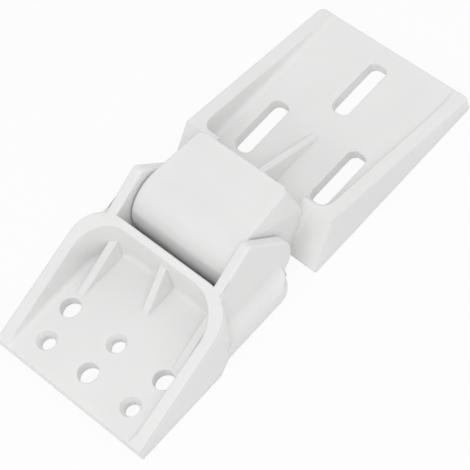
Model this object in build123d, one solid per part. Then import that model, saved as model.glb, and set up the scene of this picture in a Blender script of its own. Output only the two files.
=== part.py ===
from build123d import *
import math
import os

# Freezer lid hinge: two moulded leaves on a steel pin, with a torsion spring inside the barrel.
# X runs along the pin, +Y points to the lid leaf, +Z points away from the mounting faces.
# All lengths are in millimetres and all angles in degrees.

# Reach of the two leaves from the pin axis, and the height of the axis over the mounting faces
CABINET_REACH = 67.0
LID_REACH = 88.5
AXIS_HEIGHT = 12.8

# General moulding sizes
PLATE = 4.0
DRAFT = 1.5
FLOOR_FILLET = 2.0

# Cabinet leaf: a wedge-shaped tray that rises from its near end to a rim
CABINET_WIDTH = 65.0
CABINET_WALL = 4.7
NEAR_END_HEIGHT = 4.2
RIM_BACK = 15.7
RIM_HEIGHT = 22.8
RIM_THICKNESS = 3.6
FRAME_CORNER = 13.0
TRAY_CORNER = 12.6

# Foot flanges under the cheeks, with a shoulder where the wide tray ends
FLANGE_WIDTH = 60.6
FLANGE_START = 25.6
SHOULDER_START = 31.8
SHOULDER_LEAN = 7.0
SHOULDER_FLARE = 6.0
FLANGE_END = 6.6
FLANGE_CORNER = 8.6
SWING_CLEARANCE = 0.8

# Cheeks that carry the pin
CHEEK_GAP = 42.6
CHEEK_THICKNESS = 3.9
CHEEK_RISE_ANGLE = 26.0
CHEEK_FALL_ANGLE = 49.0
CHEEK_PEAK_ROUND = 2.5
CHEEK_END_RADIUS = 8.7
CHEEK_END_Y = 2.9
CHEEK_END_HEIGHT = 11.0
CHEEK_EDGE_ROUND = 0.8
CHEEK_FOOT_FILLET = 4.0

# Gussets of the cabinet leaf
GUSSET_THICKNESS = 2.8
GUSSET_SPACING = 21.8
SIDE_GUSSET_HEIGHT = 13.5
SIDE_GUSSET_RUN = 20.5
CENTRE_GUSSET_HEIGHT = 17.0
CENTRE_GUSSET_RUN = 12.4

# Screw holes: three plain holes and three countersunk ones make two triangles
PLAIN_HOLE = 7.1
PLAIN_PAIR_MARGIN = 11.5
COUNTERSINK = 7.1
COUNTERSINK_DEPTH = 2.0
SCREW_HOLE = 5.0
SCREW_PAIR_MARGIN = 13.5
NEAR_ROW_MARGIN = 9.6
ROW_SPACING = 12.8

# Lid leaf: a tray with sloped near walls, side walls that run out at the far end, and slots
LID_WIDTH = 64.0
LID_NEAR = 12.7
LID_LIP = 1.2
LID_WALL = 5.1
WING_SLOPE = 49.0
WING_THICKNESS = 1.7
WING_HEIGHT = 15.0
LID_FAR_HEIGHT = 4.2
LID_CORNER = 2.0
LID_TRAY_CORNER = 4.0
SLOT_WIDTH = 7.2
SLOT_LENGTH = 22.0
SLOT_CORNER = 2.6
SIDE_SLOT_Y = 41.4
SIDE_SLOT_SPACING = 33.6
CENTRE_SLOT_MARGIN = 17.7

# Barrel and the block behind it, cored out from the mounting face
BARREL_RADIUS = 12.6
BARREL_END_GAP = 0.7
BARREL_WALL = 1.9
BARREL_END_WALL = 3.0
BLOCK_END = 21.6
BLOCK_TAPER = 1.9
BLOCK_CORNER = 3.0
BLOCK_DRAFT = 8.5
BLOCK_WALL = 2.6
LID_GUSSET_THICKNESS = 2.6
LID_GUSSET_HEIGHT = 15.5
LID_GUSSET_RUN = 28.0

# Pin, spool and spring
PIN_DIAMETER = 8.0
PIN_FLAT_DEPTH = 1.0
PIN_CHAMFER = 0.6
PIN_SEAT_DEPTH = 2.4
SEAT_CLEARANCE = 0.02
RUNNING_CLEARANCE = 0.05
SPOOL_WALL = 1.4
SPOOL_FLANGE = 2.0
SPOOL_CLEARANCE = 0.3
WIRE = 2.8
COIL_CLEARANCE = 0.3
COIL_HALF_TURNS = 8
COIL_PITCH = 3.4
SPRING_LEG = 8.6
TANG_LENGTH = 3.4
TANG_CLEARANCE = 0.4
CONTACT_CLEARANCE = 0.05

# Values that follow from the sizes above
axis_y = (CABINET_REACH - LID_REACH) / 2
cheek_inner = CHEEK_GAP / 2
cheek_outer = cheek_inner + CHEEK_THICKNESS
barrel_half = cheek_inner - BARREL_END_GAP
block_end_half = barrel_half - BLOCK_TAPER
cavity_half = barrel_half - BARREL_END_WALL
cavity_radius = BARREL_RADIUS - BARREL_WALL
block_top = AXIS_HEIGHT + BARREL_RADIUS
tie_end = math.sqrt((BARREL_RADIUS + SWING_CLEARANCE) ** 2 - (AXIS_HEIGHT - PLATE) ** 2)
pin_radius = PIN_DIAMETER / 2
flat_height = pin_radius - PIN_FLAT_DEPTH
spool_half = cavity_half - SPOOL_CLEARANCE
hub_radius = pin_radius + SPOOL_WALL
coil_radius = hub_radius + COIL_CLEARANCE + WIRE / 2
contact_radius = coil_radius + WIRE / 2 + CONTACT_CLEARANCE
flange_radius = cavity_radius - SPOOL_CLEARANCE
tang_x = spool_half - SPOOL_FLANGE - TANG_CLEARANCE - WIRE / 2
lug_face = tang_x - WIRE / 2
tray_slope = (RIM_HEIGHT - NEAR_END_HEIGHT) / (CABINET_REACH - RIM_BACK)
wing_tangent = math.tan(math.radians(WING_SLOPE))
wing_top_y = LID_NEAR + (WING_HEIGHT - LID_LIP) / wing_tangent
lid_slope = (WING_HEIGHT - LID_FAR_HEIGHT) / (LID_REACH - wing_top_y)
beyond = PLATE + RIM_THICKNESS


def yz_prism(points, x_low, x_high):
    """A polygon in the Y-Z plane, extruded from x_low to x_high."""
    face = make_face(Polyline(*points, close=True).edges())
    return extrude(Plane.YZ.offset(x_low) * face, x_high - x_low)


def plan_prism(sketch, z_low, z_high, taper=0.0):
    """A plan sketch, extruded from z_low to z_high."""
    return extrude(Pos(0, 0, z_low) * sketch, z_high - z_low, taper=taper)


def x_cylinder(radius, x_low, x_high):
    """A cylinder on the pin axis."""
    middle = (x_low + x_high) / 2
    return Pos(middle, 0, AXIS_HEIGHT) * Rot(0, 90, 0) * Cylinder(radius, x_high - x_low)


def span_box(x_range, y_range, z_range):
    """A box between the given limits."""
    spans = (x_range, y_range, z_range)
    middle = [(low + high) / 2 for low, high in spans]
    size = [high - low for low, high in spans]
    return Pos(*middle) * Box(*size)


def both_sides(solid):
    """A solid and its mirror image across the middle of the hinge."""
    return solid + mirror(solid, about=Plane.YZ)


def plan_rectangle(width, y_low, y_high, far_corner):
    """A plan rectangle with its two corners at y_high rounded."""
    sketch = Pos(0, (y_low + y_high) / 2) * Rectangle(width, y_high - y_low)
    return fillet(sketch.vertices().group_by(Axis.Y)[-1], far_corner)


def gusset(thickness, x, y_wall, y_foot, height):
    """A triangular rib from a wall at y_wall down to the plate at y_foot."""
    corners = [(y_wall, PLATE / 2), (y_wall, height), (y_foot, PLATE), (y_foot, PLATE / 2)]
    return yz_prism(corners, x - thickness / 2, x + thickness / 2)


def d_bar(radius, flat, x_low, x_high):
    """A round bar on the pin axis with one flat turned to the mounting face."""
    bar = x_cylinder(radius, x_low, x_high)
    flat_z = AXIS_HEIGHT - flat
    return bar - span_box((x_low, x_high), (-radius, radius), (flat_z - radius, flat_z))


def cabinet_outline():
    """Plan of the cabinet leaf: a wide tray, two shoulders and round-ended foot flanges."""
    wide = CABINET_WIDTH / 2
    narrow = FLANGE_WIDTH / 2
    outline = Polyline(
        (-wide, -CABINET_REACH),
        (wide, -CABINET_REACH),
        (wide, -SHOULDER_START),
        (narrow, -FLANGE_START),
        (narrow, FLANGE_END),
        (-narrow, FLANGE_END),
        (-narrow, -FLANGE_START),
        (-wide, -SHOULDER_START),
        close=True,
    )
    sketch = make_face(outline.edges())
    return fillet(sketch.vertices().group_by(Axis.Y)[-1], FLANGE_CORNER)


def cabinet_frame():
    """Walls and rim of the tray under one inclined plane, cut back behind the shoulders."""
    sketch = plan_rectangle(CABINET_WIDTH, -CABINET_REACH, -RIM_BACK, FRAME_CORNER)
    block = plan_prism(sketch, 0, RIM_HEIGHT + beyond, taper=DRAFT)
    wedge = yz_prism(
        [
            (-CABINET_REACH - beyond, 0),
            (-RIM_BACK + beyond, 0),
            (-RIM_BACK + beyond, RIM_HEIGHT + beyond * tray_slope),
            (-CABINET_REACH - beyond, NEAR_END_HEIGHT - beyond * tray_slope),
        ],
        -CABINET_WIDTH,
        CABINET_WIDTH,
    )
    behind = yz_prism(
        [
            (-FLANGE_START, PLATE),
            (-RIM_BACK + beyond, PLATE),
            (-RIM_BACK + beyond, RIM_HEIGHT + beyond),
            (-FLANGE_START + SHOULDER_LEAN, RIM_HEIGHT),
        ],
        cheek_outer,
        CABINET_WIDTH,
    )
    return (block & wedge) - both_sides(behind)


def cabinet_tray():
    """The hollow of the tray, open at the near end."""
    sketch = plan_rectangle(
        CABINET_WIDTH - 2 * CABINET_WALL,
        -CABINET_REACH - beyond,
        -RIM_BACK - RIM_THICKNESS,
        TRAY_CORNER,
    )
    hollow = plan_prism(sketch, PLATE, RIM_HEIGHT + beyond, taper=-DRAFT)
    return fillet(hollow.faces().sort_by(Axis.Z)[0].edges(), FLOOR_FILLET)


def cheek():
    """The +X cheek: up from the rim, over a rounded peak, down to a round end."""
    rise = math.tan(math.radians(CHEEK_RISE_ANGLE))
    fall = math.tan(math.radians(CHEEK_FALL_ANGLE))
    touch_y = CHEEK_END_Y + CHEEK_END_RADIUS * math.sin(math.radians(CHEEK_FALL_ANGLE))
    touch_z = CHEEK_END_HEIGHT + CHEEK_END_RADIUS * math.cos(math.radians(CHEEK_FALL_ANGLE))
    peak_y = (touch_z + fall * touch_y - RIM_HEIGHT - rise * RIM_BACK) / (rise + fall)
    peak_z = RIM_HEIGHT + rise * (peak_y + RIM_BACK)
    root_y = -RIM_BACK - RIM_THICKNESS / 2
    root_z = RIM_HEIGHT - tray_slope * RIM_THICKNESS / 2
    end_y = CHEEK_END_Y + CHEEK_END_RADIUS
    foot_z = CHEEK_END_HEIGHT - math.sqrt(CHEEK_END_RADIUS**2 - (FLANGE_END - CHEEK_END_Y) ** 2)
    top = Polyline(
        (FLANGE_END, 0),
        (root_y, 0),
        (root_y, root_z),
        (-RIM_BACK, RIM_HEIGHT),
        (peak_y, peak_z),
        (touch_y, touch_z),
    )
    round_end = ThreePointArc((touch_y, touch_z), (end_y, CHEEK_END_HEIGHT), (FLANGE_END, foot_z))
    foot = Line((FLANGE_END, foot_z), (FLANGE_END, 0))
    outline = make_face(top.edges() + round_end.edges() + foot.edges())
    outline = fillet(outline.vertices().sort_by(Axis.Y)[-1], CHEEK_PEAK_ROUND)
    plate = extrude(Plane.YZ.offset(cheek_inner) * outline, CHEEK_THICKNESS)
    sides = plate.faces().filter_by(Axis.X).edges()
    rounded = sides.filter_by(lambda edge: edge.center().Z > foot_z and edge.center().Y > root_y)
    return fillet(rounded, CHEEK_EDGE_ROUND)


def cheek_foot():
    """The concave fillet from the outside of the +X cheek to its foot flange."""
    radius = CHEEK_FOOT_FILLET
    square = Pos(cheek_outer + radius / 2, PLATE + radius / 2) * Rectangle(radius, radius)
    section = square - Pos(cheek_outer + radius, PLATE + radius) * Circle(radius)
    start = Plane((0, -FLANGE_START, 0), x_dir=(1, 0, 0), z_dir=(0, -1, 0))
    strip = extrude(start * section, -(FLANGE_START + FLANGE_END))
    return strip & plan_prism(cabinet_outline(), 0, RIM_HEIGHT)


def screw_holes():
    """Cutters for the three plain and the three countersunk screw holes."""
    plain_x = CABINET_WIDTH / 2 - PLAIN_PAIR_MARGIN
    screw_x = CABINET_WIDTH / 2 - SCREW_PAIR_MARGIN
    near_y = NEAR_ROW_MARGIN - CABINET_REACH
    far_y = near_y + ROW_SPACING
    plain = [(-plain_x, far_y), (plain_x, far_y), (0, near_y)]
    sunk = [(-screw_x, near_y), (screw_x, near_y), (0, far_y)]
    cutters = [Pos(x, y, PLATE / 2) * Cylinder(PLAIN_HOLE / 2, 2 * PLATE) for x, y in plain]
    cone_z = PLATE - COUNTERSINK_DEPTH / 2
    for x, y in sunk:
        cutters.append(Pos(x, y, PLATE / 2) * Cylinder(SCREW_HOLE / 2, 2 * PLATE))
        cutters.append(Pos(x, y, cone_z) * Cone(SCREW_HOLE / 2, COUNTERSINK / 2, COUNTERSINK_DEPTH))
    return cutters


def cabinet_leaf():
    """The leaf that is screwed to the cabinet, with the two cheeks for the pin."""
    wall_y = -RIM_BACK - RIM_THICKNESS / 2
    tray_y = -RIM_BACK - RIM_THICKNESS
    seat = pin_radius + SEAT_CLEARANCE
    seat_end = cheek_inner + PIN_SEAT_DEPTH
    outline = plan_prism(cabinet_outline(), 0, RIM_HEIGHT, taper=-SHOULDER_FLARE)
    plate = plan_prism(cabinet_outline(), 0, PLATE, taper=DRAFT)
    leaf = plate + (cabinet_frame() & outline) - cabinet_tray()
    leaf += gusset(GUSSET_THICKNESS, 0, wall_y, tray_y - CENTRE_GUSSET_RUN, CENTRE_GUSSET_HEIGHT)
    for x in (-GUSSET_SPACING, GUSSET_SPACING):
        leaf += gusset(GUSSET_THICKNESS, x, wall_y, tray_y - SIDE_GUSSET_RUN, SIDE_GUSSET_HEIGHT)
    cheek_gap = (-cheek_inner, cheek_inner)
    leaf -= span_box(cheek_gap, (-RIM_BACK, FLANGE_END + beyond), (PLATE, block_top))
    leaf -= span_box(cheek_gap, (-tie_end, FLANGE_END + beyond), (-beyond, block_top))
    leaf += both_sides(cheek() + cheek_foot())
    leaf -= x_cylinder(seat, -cheek_outer - beyond, 0)
    leaf -= d_bar(seat, flat_height + SEAT_CLEARANCE, 0, seat_end)
    for cutter in screw_holes():
        leaf -= cutter
    return leaf


def lid_side_view():
    """Side view of the lid leaf: a lip, a sloped near wall and side walls that run out."""
    return yz_prism(
        [
            (LID_NEAR, 0),
            (LID_REACH + beyond, 0),
            (LID_REACH + beyond, LID_FAR_HEIGHT - beyond * lid_slope),
            (wing_top_y, WING_HEIGHT),
            (LID_NEAR, LID_LIP),
        ],
        -LID_WIDTH,
        LID_WIDTH,
    )


def lid_tray():
    """The hollow of the lid leaf, with its near end parallel to the sloped near walls."""
    half = LID_WIDTH / 2 - LID_WALL
    wall = WING_THICKNESS / math.sin(math.radians(WING_SLOPE))
    floor_y = LID_NEAR + wall + (PLATE - LID_LIP) / wing_tangent
    hollow = yz_prism(
        [
            (floor_y, PLATE),
            (LID_REACH + beyond, PLATE),
            (LID_REACH + beyond, PLATE + WING_HEIGHT),
            (floor_y + WING_HEIGHT / wing_tangent, PLATE + WING_HEIGHT),
        ],
        -half,
        half,
    )
    near_wall = hollow.faces().sort_by(Axis.Y)[0]
    near_corners = near_wall.edges().filter_by(Axis.X, reverse=True)
    hollow = fillet(near_corners, LID_TRAY_CORNER)
    hollow = fillet(hollow.faces().sort_by(Axis.Z)[0].edges(), FLOOR_FILLET)
    at_block = span_box(
        (-block_end_half, block_end_half),
        (BLOCK_END - BLOCK_WALL, floor_y + WING_HEIGHT / wing_tangent),
        (PLATE, PLATE + WING_HEIGHT),
    )
    return hollow + at_block


def lid_block():
    """The barrel and the drafted block that ties it to the lid plate, still solid inside."""
    spread = block_top * math.tan(math.radians(BLOCK_DRAFT))
    near_half = barrel_half + spread
    far_half = block_end_half + spread
    far_y = BLOCK_END + spread
    near_y = -BARREL_RADIUS - spread
    outline = Polyline(
        (-near_half, near_y),
        (near_half, near_y),
        (near_half, 0),
        (far_half, far_y),
        (-far_half, far_y),
        (-near_half, 0),
        close=True,
    )
    sketch = make_face(outline.edges())
    prism = plan_prism(sketch, 0, block_top, taper=BLOCK_DRAFT)
    far_wall = prism.faces().sort_by(Axis.Y)[-1]
    prism = fillet(far_wall.edges().filter_by(Axis.X, reverse=True), BLOCK_CORNER)
    behind = span_box((-barrel_half, barrel_half), (0, far_y), (0, block_top))
    return (x_cylinder(BARREL_RADIUS, -barrel_half, barrel_half) + behind) & prism


def lid_core():
    """Cutters for the barrel's hollow, its mouth at the mounting face and the hollow of the block.

    The cross rib beside the mouth stops the spring's leg, and it ends where the spool's flange goes in.
    """
    rib_end = lug_face - SPOOL_CLEARANCE
    hollow_half = block_end_half - BLOCK_WALL
    rib_back = cavity_radius + BARREL_WALL
    mouth_height = (0, AXIS_HEIGHT)
    return [
        x_cylinder(cavity_radius, -cavity_half, cavity_half),
        span_box((-cavity_half, rib_end), (-cavity_radius, contact_radius), mouth_height),
        span_box((rib_end, cavity_half), (-cavity_radius, cavity_radius), mouth_height),
        span_box(
            (-hollow_half, hollow_half),
            (rib_back, BLOCK_END - BLOCK_WALL),
            (0, block_top - BLOCK_WALL),
        ),
    ]


def slots():
    """Cutters for the three adjusting slots."""
    places = [
        (-SIDE_SLOT_SPACING / 2, SIDE_SLOT_Y),
        (SIDE_SLOT_SPACING / 2, SIDE_SLOT_Y),
        (0, LID_REACH - CENTRE_SLOT_MARGIN),
    ]
    sketch = RectangleRounded(SLOT_WIDTH, SLOT_LENGTH, SLOT_CORNER)
    return [Pos(x, y, 0) * plan_prism(sketch, -beyond, PLATE + beyond) for x, y in places]


def lid_leaf():
    """The leaf that is screwed to the lid, with the barrel that turns on the pin."""
    outline = plan_rectangle(LID_WIDTH, LID_NEAR, LID_REACH, LID_CORNER)
    walls = plan_prism(outline, 0, WING_HEIGHT + beyond, taper=DRAFT) & lid_side_view()
    leaf = walls - lid_tray() + lid_block()
    leaf += gusset(
        LID_GUSSET_THICKNESS,
        0,
        BLOCK_END - BLOCK_WALL / 2,
        BLOCK_END + LID_GUSSET_RUN,
        LID_GUSSET_HEIGHT,
    )
    for cutter in lid_core() + slots():
        leaf -= cutter
    return leaf - x_cylinder(pin_radius + RUNNING_CLEARANCE, -barrel_half, barrel_half)


def hinge_pin():
    """A steel pin with a flat that keys the spool and the blind seat of the +X cheek."""
    tip = cheek_inner + PIN_SEAT_DEPTH - SEAT_CLEARANCE
    flat_z = AXIS_HEIGHT - flat_height
    pin = x_cylinder(pin_radius, -cheek_outer, tip)
    pin = chamfer(pin.edges().filter_by(GeomType.CIRCLE), PIN_CHAMFER)
    return pin - span_box((-spool_half, tip), (-pin_radius, pin_radius), (flat_z - pin_radius, flat_z))


def spring_spool():
    """A moulded spool that is keyed to the pin, with a flange and a lug for the spring's tang."""
    lug = span_box(
        (lug_face, spool_half),
        (contact_radius, flange_radius),
        (AXIS_HEIGHT, AXIS_HEIGHT + TANG_LENGTH),
    )
    spool = x_cylinder(hub_radius, -spool_half, spool_half)
    spool += x_cylinder(flange_radius, spool_half - SPOOL_FLANGE, spool_half)
    spool += lug & x_cylinder(flange_radius, lug_face, spool_half)
    bore = pin_radius + RUNNING_CLEARANCE
    return spool - d_bar(bore, flat_height + RUNNING_CLEARANCE, -spool_half, spool_half)


def counterbalance_spring():
    """A torsion spring of tangent half turns, with a leg on the lid's cross rib and a tang on the lug."""
    advance = COIL_PITCH / 2
    start_x = tang_x - COIL_HALF_TURNS * advance
    up = Vector(0, 0, 1)
    ends = []
    for count in range(COIL_HALF_TURNS + 1):
        side = coil_radius if count % 2 == 0 else -coil_radius
        ends.append(Vector(start_x + count * advance, side, AXIS_HEIGHT))
    section = Circle(WIRE / 2)
    spring = extrude(Pos(ends[0]) * section, -SPRING_LEG)
    for first, last in zip(ends, ends[1:]):
        heading = up if first.Y > 0 else -up
        turn_axis = Axis((first + last) / 2, heading.cross(last - first))
        spring += revolve(Pos(first) * section, turn_axis, 180)
    return spring + extrude(Pos(ends[-1]) * section, TANG_LENGTH)


def pieces():
    """Every piece of the hinge by its node name."""
    return {
        "cabinet_leaf": cabinet_leaf(),
        "lid_leaf": lid_leaf(),
        "hinge_pin": hinge_pin(),
        "spring_spool": spring_spool(),
        "counterbalance_spring": counterbalance_spring(),
    }


os.makedirs("parts", exist_ok=True)
for node, solid in pieces().items():
    export_step(Pos(0, axis_y, 0) * solid, f"parts/{node}.step")
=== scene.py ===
import math
import bpy
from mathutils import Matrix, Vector


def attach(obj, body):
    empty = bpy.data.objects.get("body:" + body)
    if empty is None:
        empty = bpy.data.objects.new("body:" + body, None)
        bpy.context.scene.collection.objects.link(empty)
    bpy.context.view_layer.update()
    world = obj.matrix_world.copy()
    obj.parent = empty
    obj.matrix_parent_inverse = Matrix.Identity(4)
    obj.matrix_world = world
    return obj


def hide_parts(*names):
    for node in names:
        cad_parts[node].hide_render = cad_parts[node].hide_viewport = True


# Freezer lid hinge in white moulded plastic, lying open on a pale floor.
# Lengths are in metres and angles in degrees.

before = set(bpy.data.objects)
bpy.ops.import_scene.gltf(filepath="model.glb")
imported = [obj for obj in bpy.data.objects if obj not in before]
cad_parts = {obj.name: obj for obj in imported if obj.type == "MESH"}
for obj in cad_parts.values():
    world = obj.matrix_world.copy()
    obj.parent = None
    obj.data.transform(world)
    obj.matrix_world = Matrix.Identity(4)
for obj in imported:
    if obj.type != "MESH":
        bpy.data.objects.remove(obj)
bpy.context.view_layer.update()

# Camera: where the photograph was taken from, in the part's own frame
CAMERA_PLACE = (0.32182, -0.17187, 0.56215)
CAMERA_TURN = (30.744, 11.923, 43.074)
CAMERA_LENS_MM = 161.13
CAMERA_SENSOR_MM = 36.0

# Studio: an even sky, a wide soft box over the camera, a small one in front and a third behind
SKY_STRENGTH = 0.69
WIDE_PLACE = (0.48, -0.26, 0.84)
WIDE_SIZE = 0.5
WIDE_POWER = 1.8
FRONT_PLACE = (0.0, -0.79, 0.61)
FRONT_SIZE = 0.18
FRONT_POWER = 1.1
BACK_PLACE = (0.3, 0.6, 0.74)
BACK_SIZE = 0.6
BACK_POWER = 0.9
FLOOR_SIZE = 6.0
FLOOR_DROP = 0.0003
FLOOR_BOUNCE = 0.86
FLOOR_SHADOW_SHARE = 0.12
SHOWN_WHITE = 1.0

# Finishes, as linear colours and the lowest and highest roughness
WHITE_MOULDING = (0.83, 0.83, 0.826)
WHITE_ROUGHNESS = (0.36, 0.48)
GREY_MOULDING = (0.033, 0.033, 0.036)
GREY_ROUGHNESS = (0.45, 0.6)
PIN_STEEL = (0.56, 0.56, 0.57)
PIN_ROUGHNESS = (0.22, 0.38)
SPRING_WIRE = (0.085, 0.085, 0.09)
SPRING_ROUGHNESS = (0.35, 0.55)

# Patterns in the finishes, each as its scale and detail, and how steel's marks stretch along the pin
FLOW_CLOUDS = (45.0, 3.0)
SINK_MARKS = (110.0, 1.0)
TOOL_GRAIN = (2600.0, 2.0)
PIN_MARKS = (900.0, 4.0)
SPRING_MARKS = (1200.0, 4.0)
MARKS_STRETCH = (0.1, 1.0, 1.0)

# Tones that a pattern mixes, as shares of the colour, and where it passes from one to the other
CLOUD_TONES = (0.985, 1.01)
MARK_TONES = (0.8, 1.0)
TONE_STOPS = (0.35, 0.65)

# Reliefs of the patterns, each as its strength and depth
SINK_RELIEF = (0.25, 0.00012)
GRAIN_RELIEF = (0.14, 0.00003)
MARK_RELIEF = (0.1, 0.00003)

# Moulded edges, softened in the finish, and the light that goes in under the plastic's surface
EDGE_SOFTNESS = 0.0006
EDGE_SAMPLES = 8
WHITE_GLOW = 0.3
GREY_GLOW = 0.0
GLOW_DEPTH = 0.002
GLOW_REACH = (1.0, 1.0, 0.95)

# Cabinet leaf's walls, as the part has them: the frame, the face behind the shoulder and the cheek
PIN_AXIS_Y = -0.01075
CHEEK_FACE = 0.0252
PLATE_TOP = 0.004
RIM_HEIGHT = 0.0228
RIM_BACK = 0.0157
RIM_SLOPE = 0.36257
FRAME_HALF_WIDTH = 0.0325
FRAME_CORNER_RADIUS = 0.013
WALL_DRAFT = 1.5
SHOULDER_FOOT = 0.0256
SHOULDER_LEAN = 0.007
SHOULDER_HALF_WIDTH = 0.0303
SHOULDER_FLARE = 6.0

# Concave webs that run from the shoulders into the cheeks
UNIT_PLANE = 1.0
WEB_RUN = 0.006
WEB_SINK = 0.00003
WEB_FOOT = 0.0039
WEB_TOP = 0.0246
WEB_LEVELS = 18
WEB_FACETS = 20
WEB_HOLLOW = 0.09
WEB_BEVEL_PERCENT = 99.0
LEAST_WEB = 0.0002

# Round corners of the cabinet tray, as the part has them, and the slice of a drum that clears each
TRAY_CORNER_CENTRE = (0.0152, -0.04265)
TRAY_CORNER_RADIUS = 0.0126
TRAY_FLOOR = 0.004
TRAY_FLOOR_FILLET = 0.002
FILLET_FACETS = 10
DRUM_TOP = 0.0095
DRUM_FACETS = 256
DRUM_INSET = 0.00005
SLICE_ANGLES = (27.0, 40.0)
SLICE_START = 0.0112

# Distances within which points count as one, or as level with each other
SAME_PLACE = 0.000001
SAME_HEIGHT = 0.00001


# Finishes
def new_finish(name):
    """A material with its node tree, its shader and the piece's own coordinates."""
    material = bpy.data.materials.new(name)
    material.use_nodes = True
    tree = material.node_tree
    place = tree.nodes.new("ShaderNodeTexCoord").outputs["Object"]
    return material, tree, tree.nodes["Principled BSDF"], place


def noise(tree, place, scale, detail):
    """A noise pattern at the given coordinates."""
    pattern = tree.nodes.new("ShaderNodeTexNoise")
    pattern.inputs["Scale"].default_value = scale
    pattern.inputs["Detail"].default_value = detail
    tree.links.new(place, pattern.inputs["Vector"])
    return pattern.outputs["Fac"]


def tint(tree, pattern, colour, tones):
    """Two tones of one colour, mixed by a pattern."""
    ramp = tree.nodes.new("ShaderNodeValToRGB")
    for stop, position, tone in zip(ramp.color_ramp.elements, TONE_STOPS, tones):
        stop.position = position
        stop.color = (*(channel * tone for channel in colour), 1.0)
    tree.links.new(pattern, ramp.inputs["Fac"])
    return ramp.outputs["Color"]


def spread(tree, pattern, low, high):
    """A pattern mapped to a range of values."""
    mapped = tree.nodes.new("ShaderNodeMapRange")
    mapped.inputs["To Min"].default_value = low
    mapped.inputs["To Max"].default_value = high
    tree.links.new(pattern, mapped.inputs["Value"])
    return mapped.outputs["Result"]


def relief(tree, pattern, strength, depth):
    """Surface relief from a pattern."""
    bump = tree.nodes.new("ShaderNodeBump")
    bump.inputs["Strength"].default_value = strength
    bump.inputs["Distance"].default_value = depth
    tree.links.new(pattern, bump.inputs["Height"])
    return bump


def moulded_plastic(name, colour, roughness, glow):
    """Moulded plastic with soft edges, faint flow clouds, uneven gloss, slight sink and fine grain."""
    material, tree, shader, place = new_finish(name)
    clouds = noise(tree, place, *FLOW_CLOUDS)
    sink = noise(tree, place, *SINK_MARKS)
    grain = noise(tree, place, *TOOL_GRAIN)
    edge = tree.nodes.new("ShaderNodeBevel")
    edge.samples = EDGE_SAMPLES
    edge.inputs["Radius"].default_value = EDGE_SOFTNESS
    waves = relief(tree, sink, *SINK_RELIEF)
    tree.links.new(edge.outputs["Normal"], waves.inputs["Normal"])
    texture = relief(tree, grain, *GRAIN_RELIEF)
    tree.links.new(waves.outputs["Normal"], texture.inputs["Normal"])
    tree.links.new(tint(tree, clouds, colour, CLOUD_TONES), shader.inputs["Base Color"])
    tree.links.new(spread(tree, clouds, *roughness), shader.inputs["Roughness"])
    tree.links.new(texture.outputs["Normal"], shader.inputs["Normal"])
    shader.inputs["Subsurface Weight"].default_value = glow
    shader.inputs["Subsurface Radius"].default_value = GLOW_REACH
    shader.inputs["Subsurface Scale"].default_value = GLOW_DEPTH
    return material


def drawn_steel(name, colour, roughness, marks_form):
    """Ground or drawn steel: fine marks that stretch along the pin, with uneven gloss."""
    material, tree, shader, place = new_finish(name)
    along = tree.nodes.new("ShaderNodeMapping")
    along.inputs["Scale"].default_value = MARKS_STRETCH
    tree.links.new(place, along.inputs["Vector"])
    marks = noise(tree, along.outputs["Vector"], *marks_form)
    shader.inputs["Metallic"].default_value = 1.0
    tree.links.new(tint(tree, marks, colour, MARK_TONES), shader.inputs["Base Color"])
    tree.links.new(spread(tree, marks, *roughness), shader.inputs["Roughness"])
    tree.links.new(relief(tree, marks, *MARK_RELIEF).outputs["Normal"], shader.inputs["Normal"])
    return material


def give_finish(piece, material):
    """Gives a piece one finish, in place of what it came with."""
    piece.data.materials.clear()
    piece.data.materials.append(material)


# Modelling steps
def deselect_all():
    bpy.ops.object.select_all(action="DESELECT")


def pick(body):
    """Makes a body the one that the operators act on."""
    deselect_all()
    body.select_set(True)
    bpy.context.view_layer.objects.active = body


def select_edges(form, is_wanted):
    """In edit mode, selects the edges of a form with a wanted point at both ends."""
    bpy.ops.mesh.select_mode(type="EDGE")
    bpy.ops.mesh.select_all(action="DESELECT")
    bpy.ops.object.mode_set(mode="OBJECT")
    points = form.data.vertices
    for edge in form.data.edges:
        edge.select = all(is_wanted(points[at].co) for at in edge.vertices)
    bpy.ops.object.mode_set(mode="EDIT")


def trim(place, outward):
    """In edit mode, cuts a form off at a plane and fills the cut."""
    bpy.ops.mesh.select_all(action="SELECT")
    bpy.ops.mesh.bisect(plane_co=place, plane_no=outward, use_fill=True, clear_outer=True)


def close_form():
    """Merges the doubles of a form, turns its faces outwards and leaves edit mode."""
    bpy.ops.mesh.select_all(action="SELECT")
    bpy.ops.mesh.remove_doubles(threshold=SAME_PLACE)
    bpy.ops.mesh.normals_make_consistent(inside=False)
    bpy.ops.object.mode_set(mode="OBJECT")


def combine(body, tool, operation):
    """Joins a form to a body or cuts it out, and removes the form."""
    pick(body)
    change = body.modifiers.new(operation.lower(), "BOOLEAN")
    change.operation = operation
    change.solver = "EXACT"
    change.object = tool
    bpy.ops.object.modifier_apply(modifier=change.name)
    bpy.data.objects.remove(tool, do_unlink=True)


def merge_doubles(body):
    """Joins the points of a body that lie in the same place."""
    pick(body)
    bpy.ops.object.mode_set(mode="EDIT")
    bpy.ops.mesh.select_all(action="SELECT")
    bpy.ops.mesh.remove_doubles(threshold=SAME_PLACE)
    bpy.ops.object.mode_set(mode="OBJECT")


# Cabinet moulding
def shoulder_y(height):
    """Place along Y of the leaning face behind the shoulder, less the depth that a web sinks in it."""
    lean = SHOULDER_LEAN * (height - PLATE_TOP) / (RIM_HEIGHT - PLATE_TOP)
    return PIN_AXIS_Y - SHOULDER_FOOT + lean - WEB_SINK


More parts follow.
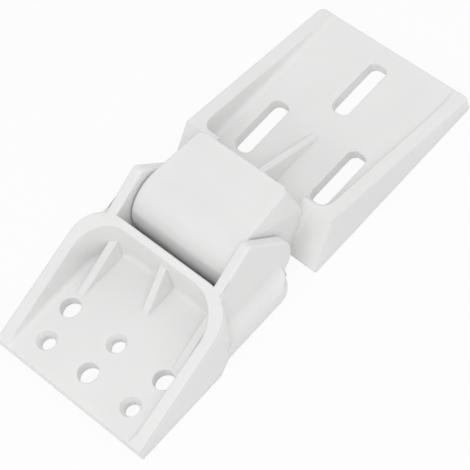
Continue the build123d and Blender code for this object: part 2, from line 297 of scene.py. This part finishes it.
def shoulder_width(height):
    """Width of that leaning face, from the cheek to the frame's round corner or the flared side."""
    corner_y = PIN_AXIS_Y - RIM_BACK - FRAME_CORNER_RADIUS
    radius = FRAME_CORNER_RADIUS - height * math.tan(math.radians(WALL_DRAFT))
    rise = shoulder_y(height) - corner_y
    round_x = FRAME_HALF_WIDTH - FRAME_CORNER_RADIUS + math.sqrt(max(radius**2 - rise**2, 0.0))
    flared_x = SHOULDER_HALF_WIDTH + height * math.tan(math.radians(SHOULDER_FLARE))
    return max(min(round_x, flared_x) - CHEEK_FACE, LEAST_WEB)


def shoulder_web(side):
    """A concave web from the face behind one shoulder to its cheek's outside, under the rim's plane."""
    def nook(height):
        return Vector((side * (CHEEK_FACE - WEB_SINK), shoulder_y(height), height))

    def is_outer(point):
        x, y, height = point
        far_out = side * x - CHEEK_FACE > shoulder_width(height) / 2
        return far_out and y - shoulder_y(height) > WEB_RUN / 2

    step = (WEB_TOP - WEB_FOOT) / WEB_LEVELS
    heights = [WEB_FOOT + step * level for level in range(WEB_LEVELS + 1)]
    deselect_all()
    bpy.ops.mesh.primitive_plane_add(size=UNIT_PLANE)
    web = bpy.context.active_object
    bpy.ops.object.mode_set(mode="EDIT")
    bpy.ops.mesh.select_all(action="SELECT")
    bpy.ops.transform.translate(value=(side * UNIT_PLANE / 2, UNIT_PLANE / 2, 0.0))
    foot_size = (shoulder_width(WEB_FOOT), WEB_RUN, 1.0)
    bpy.ops.transform.resize(value=foot_size, center_override=(0.0, 0.0, 0.0))
    bpy.ops.transform.translate(value=nook(WEB_FOOT))
    for low, high in zip(heights, heights[1:]):
        bpy.ops.mesh.extrude_region_move(TRANSFORM_OT_translate={"value": nook(high) - nook(low)})
        share = shoulder_width(high) / shoulder_width(low)
        bpy.ops.transform.resize(value=(share, 1.0, 1.0), center_override=nook(high))
    select_edges(web, is_outer)
    bpy.ops.mesh.bevel(
        offset_type="PERCENT",
        offset_pct=WEB_BEVEL_PERCENT,
        segments=WEB_FACETS,
        profile=WEB_HOLLOW,
        affect="EDGES",
    )
    rim_edge = Vector((0.0, PIN_AXIS_Y - RIM_BACK, RIM_HEIGHT - WEB_SINK))
    trim(rim_edge, Vector((0.0, -RIM_SLOPE, 1.0)))
    close_form()
    return web


def tray_corner(side):
    """A slice of the tray's round corner beside one cheek, with its draft and its floor fillet."""
    centre = Vector((side * TRAY_CORNER_CENTRE[0], TRAY_CORNER_CENTRE[1], 0.0))
    floor = TRAY_FLOOR + DRUM_INSET
    depth = DRUM_TOP - floor
    radius = TRAY_CORNER_RADIUS - DRUM_INSET
    deselect_all()
    bpy.ops.mesh.primitive_cylinder_add(vertices=DRUM_FACETS, radius=radius, depth=depth)
    drum = bpy.context.active_object
    bpy.ops.object.mode_set(mode="EDIT")
    bpy.ops.mesh.select_all(action="SELECT")
    bpy.ops.transform.translate(value=centre + Vector((0.0, 0.0, floor + depth / 2)))
    select_edges(drum, lambda point: abs(point.z - DRUM_TOP) < SAME_HEIGHT)
    growth = 1.0 + depth * math.tan(math.radians(WALL_DRAFT)) / TRAY_CORNER_RADIUS
    top = centre + Vector((0.0, 0.0, DRUM_TOP))
    bpy.ops.transform.resize(value=(growth, growth, 1.0), center_override=top)
    select_edges(drum, lambda point: abs(point.z - floor) < SAME_HEIGHT)
    bpy.ops.mesh.bevel(offset=TRAY_FLOOR_FILLET, segments=FILLET_FACETS, affect="EDGES")
    first, last = (math.radians(angle) for angle in SLICE_ANGLES)
    middle = (first + last) / 2
    inward = Vector((-side * math.cos(middle), -math.sin(middle), 0.0))
    trim(centre, Vector((side * math.sin(first), -math.cos(first), 0.0)))
    trim(centre, Vector((-side * math.sin(last), math.cos(last), 0.0)))
    trim(centre - inward * SLICE_START, inward)
    close_form()
    return drum


def cabinet_moulding(material):
    """The cabinet leaf as one moulding, with webs behind its shoulders and clean tray corners."""
    leaf = bpy.data.objects.new("cabinet_moulding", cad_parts["cabinet_leaf"].data.copy())
    bpy.context.collection.objects.link(leaf)
    merge_doubles(leaf)
    bpy.ops.mesh.customdata_custom_splitnormals_clear()
    for side in (1, -1):
        combine(leaf, shoulder_web(side), "UNION")
        combine(leaf, tray_corner(side), "DIFFERENCE")
    merge_doubles(leaf)
    bpy.ops.object.shade_flat()
    give_finish(leaf, material)
    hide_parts("cabinet_leaf")
    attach(leaf, "cabinet")


# Floor, light and camera
def background_share(tree):
    """1 for rays that show the background, whether straight, in a reflection or through glass."""
    path = tree.nodes.new("ShaderNodeLightPath")
    share = path.outputs["Is Camera Ray"]
    for kind in ("Is Glossy Ray", "Is Transmission Ray"):
        either = tree.nodes.new("ShaderNodeMath")
        either.operation = "MAXIMUM"
        tree.links.new(share, either.inputs[0])
        tree.links.new(path.outputs[kind], either.inputs[1])
        share = either.outputs["Value"]
    return share


def pale_floor():
    """A wide white floor that shows as the background and keeps a light shadow."""
    deselect_all()
    bpy.ops.mesh.primitive_plane_add(size=FLOOR_SIZE, location=(0, 0, -FLOOR_DROP))
    floor = bpy.context.active_object
    floor.name = "floor"
    material = bpy.data.materials.new("pale_floor")
    material.use_nodes = True
    tree = material.node_tree
    tree.nodes.remove(tree.nodes["Principled BSDF"])
    matt = tree.nodes.new("ShaderNodeBsdfDiffuse")
    matt.inputs["Color"].default_value = (FLOOR_BOUNCE, FLOOR_BOUNCE, FLOOR_BOUNCE, 1.0)
    white = tree.nodes.new("ShaderNodeEmission")
    white.inputs["Strength"].default_value = SHOWN_WHITE
    level = tree.nodes.new("ShaderNodeMath")
    level.operation = "MULTIPLY"
    level.inputs[1].default_value = 1.0 - FLOOR_SHADOW_SHARE
    tree.links.new(background_share(tree), level.inputs[0])
    blend = tree.nodes.new("ShaderNodeMixShader")
    tree.links.new(level.outputs["Value"], blend.inputs["Fac"])
    tree.links.new(matt.outputs["BSDF"], blend.inputs[1])
    tree.links.new(white.outputs["Emission"], blend.inputs[2])
    tree.links.new(blend.outputs["Shader"], tree.nodes["Material Output"].inputs["Surface"])
    floor.data.materials.append(material)


def even_sky():
    """A sky that lights evenly and shows as white."""
    world = bpy.data.worlds.new("even_sky")
    world.use_nodes = True
    tree = world.node_tree
    sky = tree.nodes["Background"]
    sky.inputs["Color"].default_value = (1.0, 1.0, 1.0, 1.0)
    level = spread(tree, background_share(tree), SKY_STRENGTH, SHOWN_WHITE)
    tree.links.new(level, sky.inputs["Strength"])
    bpy.context.scene.world = world


def soft_box(name, place, size, power):
    """A square soft box that is turned to the hinge."""
    turn = Vector(place).to_track_quat("Z", "Y").to_euler()
    bpy.ops.object.light_add(type="AREA", location=place, rotation=turn)
    lamp = bpy.context.active_object
    lamp.name = name
    lamp.data.size = size
    lamp.data.energy = power


def photo_camera():
    """The camera at the photograph's place, angle and lens."""
    turn = [math.radians(angle) for angle in CAMERA_TURN]
    bpy.ops.object.camera_add(location=CAMERA_PLACE, rotation=turn)
    camera = bpy.context.active_object
    camera.name = "photo_camera"
    camera.data.sensor_width = CAMERA_SENSOR_MM
    camera.data.lens = CAMERA_LENS_MM
    bpy.context.scene.camera = camera


# The hinge
leaf_plastic = moulded_plastic("leaf_plastic", WHITE_MOULDING, WHITE_ROUGHNESS, WHITE_GLOW)
spool_plastic = moulded_plastic("spool_plastic", GREY_MOULDING, GREY_ROUGHNESS, GREY_GLOW)
pin_steel = drawn_steel("pin_steel", PIN_STEEL, PIN_ROUGHNESS, PIN_MARKS)
spring_steel = drawn_steel("spring_steel", SPRING_WIRE, SPRING_ROUGHNESS, SPRING_MARKS)
give_finish(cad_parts["lid_leaf"], leaf_plastic)
give_finish(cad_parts["spring_spool"], spool_plastic)
give_finish(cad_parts["hinge_pin"], pin_steel)
give_finish(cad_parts["counterbalance_spring"], spring_steel)
cabinet_moulding(leaf_plastic)

# The studio
pale_floor()
even_sky()
soft_box("wide_soft_box", WIDE_PLACE, WIDE_SIZE, WIDE_POWER)
soft_box("front_soft_box", FRONT_PLACE, FRONT_SIZE, FRONT_POWER)
soft_box("back_soft_box", BACK_PLACE, BACK_SIZE, BACK_POWER)
photo_camera()
bpy.context.scene.view_settings.view_transform = "Standard"
